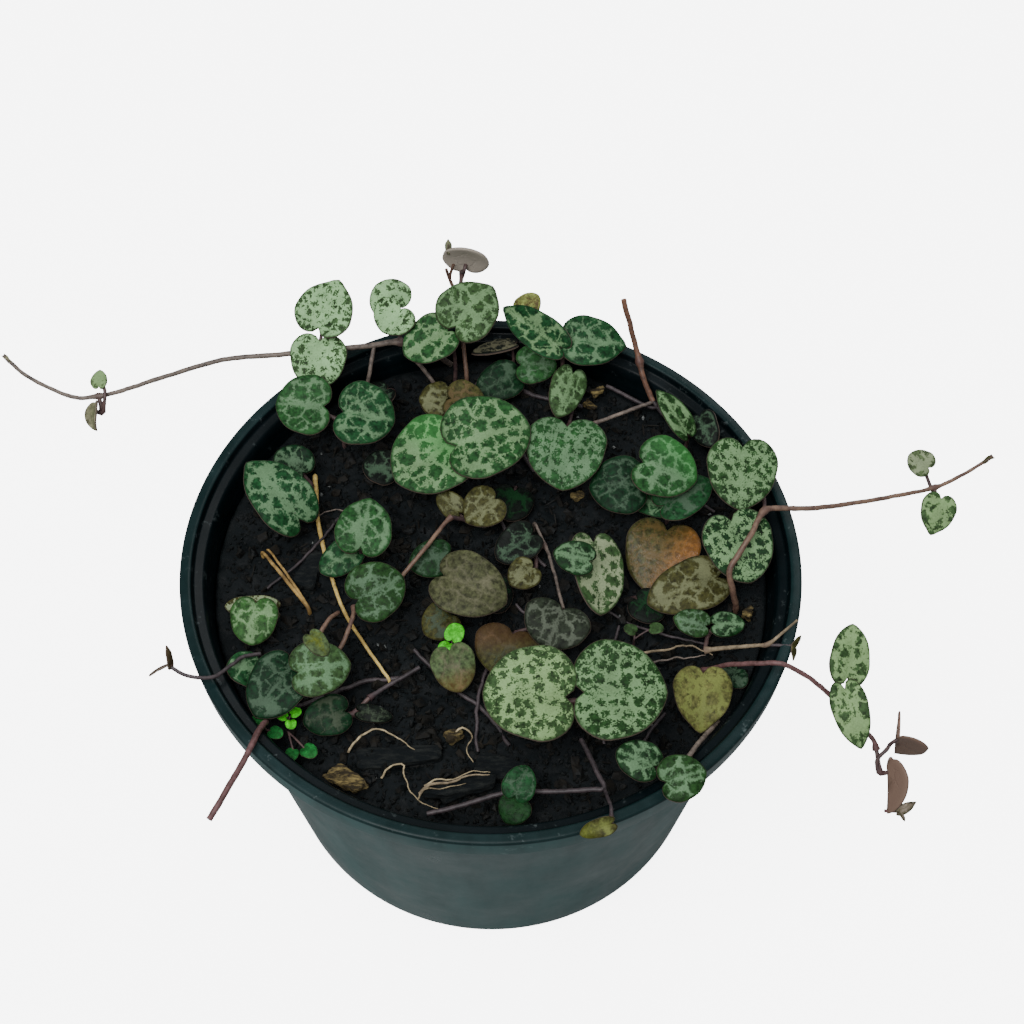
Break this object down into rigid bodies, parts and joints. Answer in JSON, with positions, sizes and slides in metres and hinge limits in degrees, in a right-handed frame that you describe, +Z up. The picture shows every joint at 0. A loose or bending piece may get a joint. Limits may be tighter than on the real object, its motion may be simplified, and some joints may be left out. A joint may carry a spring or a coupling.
{
  "type": "potted string of hearts",
  "caption": "Trailing houseplant with small heart-shaped mottled leaves on thin vines, growing in soil in a round tapered nursery pot.",
  "frame": {"origin": "centre of the pot's base, on the surface it stands on", "axes": "+Z up along the pot's axis, +X to the right and -Y towards the front, where the collar's front is seen"},
  "size_m": [0.2563, 0.1583, 0.124],
  "materials": {
    "pot_plastic": "moulded, low sheen",
    "soil": "damp crumbly peat",
    "vine_bark": "smooth thin bark",
    "dry_twig": "dry and fibrous",
    "straw": "dry stalk",
    "bark_chip": "rough bark",
    "leaf_silver": "succulent leaf, soft satin",
    "leaf_mottled": "succulent leaf, soft satin",
    "leaf_netted": "succulent leaf, soft satin",
    "leaf_dark": "succulent leaf, soft satin",
    "leaf_olive": "succulent leaf, soft satin",
    "leaf_bronze": "succulent leaf, soft satin",
    "leaf_withered": "succulent leaf, soft satin"
  },
  "bodies": {
    "root": {"pot": "pot_plastic", "soil": "soil", "vine_runner_left": "vine_bark", "vine_shoot_back": "vine_bark", "vine_runner_right": "vine_bark", "vine_runner_low": "vine_bark", "vine_stub_back_right": "vine_bark", "vine_stub_front_left": "vine_bark", "vine_tendril_left": "vine_bark", "twig_dry_right": "dry_twig", "vine_middle": "vine_bark", "vine_front": "vine_bark", "vine_front_right": "vine_bark", "vine_front_left": "vine_bark", "vine_fork_left": "vine_bark", "vine_thin_middle": "vine_bark", "leaves_silver_back_left": "leaf_silver", "leaves_silver_small_back": "leaf_silver", "leaves_mottled_back": "leaf_mottled", "leaves_folded_back_right": "leaf_netted", "leaf_shoot_back": "leaf_olive", "leaves_netted_left": "leaf_netted", "leaves_netted_outer_left": "leaf_netted", "leaves_olive_back": "leaf_olive", "leaves_dark_back": "leaf_dark", "leaves_mottled_middle": "leaf_mottled", "leaves_mottled_right": "leaf_mottled", "leaves_folded_right": "leaf_netted", "leaves_vivid_right": "leaf_mottled", "leaves_silver_right": "leaf_silver", "leaves_dark_right": "leaf_dark", "leaf_bronze_right": "leaf_bronze", "leaf_olive_right": "leaf_olive", "leaves_dark_small_right": "leaf_dark", "leaf_yellow_olive_right": "leaf_olive", "leaves_grey_middle_right": "leaf_netted", "leaves_yellowed_middle": "leaf_olive", "leaves_olive_middle": "leaf_olive", "leaf_dark_middle": "leaf_dark", "leaf_plain_middle": "leaf_olive", "leaves_bronze_middle": "leaf_bronze", "leaves_bronze_small": "leaf_bronze", "leaves_netted_middle_left": "leaf_netted", "leaf_netted_fork_left": "leaf_netted", "leaves_olive_left": "leaf_olive", "leaf_netted_rim_left": "leaf_netted", "leaves_netted_front_left": "leaf_netted", "leaves_dark_front_left": "leaf_dark", "leaves_silver_front": "leaf_silver", "leaves_dark_front": "leaf_dark", "leaves_netted_front_right": "leaf_netted", "leaf_withered_front": "leaf_withered", "leaves_runner_left": "leaf_silver", "leaves_runner_right": "leaf_mottled", "leaves_runner_low_first": "leaf_mottled", "leaves_runner_low_last": "leaf_olive", "straw_long": "straw", "straw_short": "straw", "bark_chip_tan": "bark_chip", "bark_chip_dark": "bark_chip"}
  },
  "joints": []
}
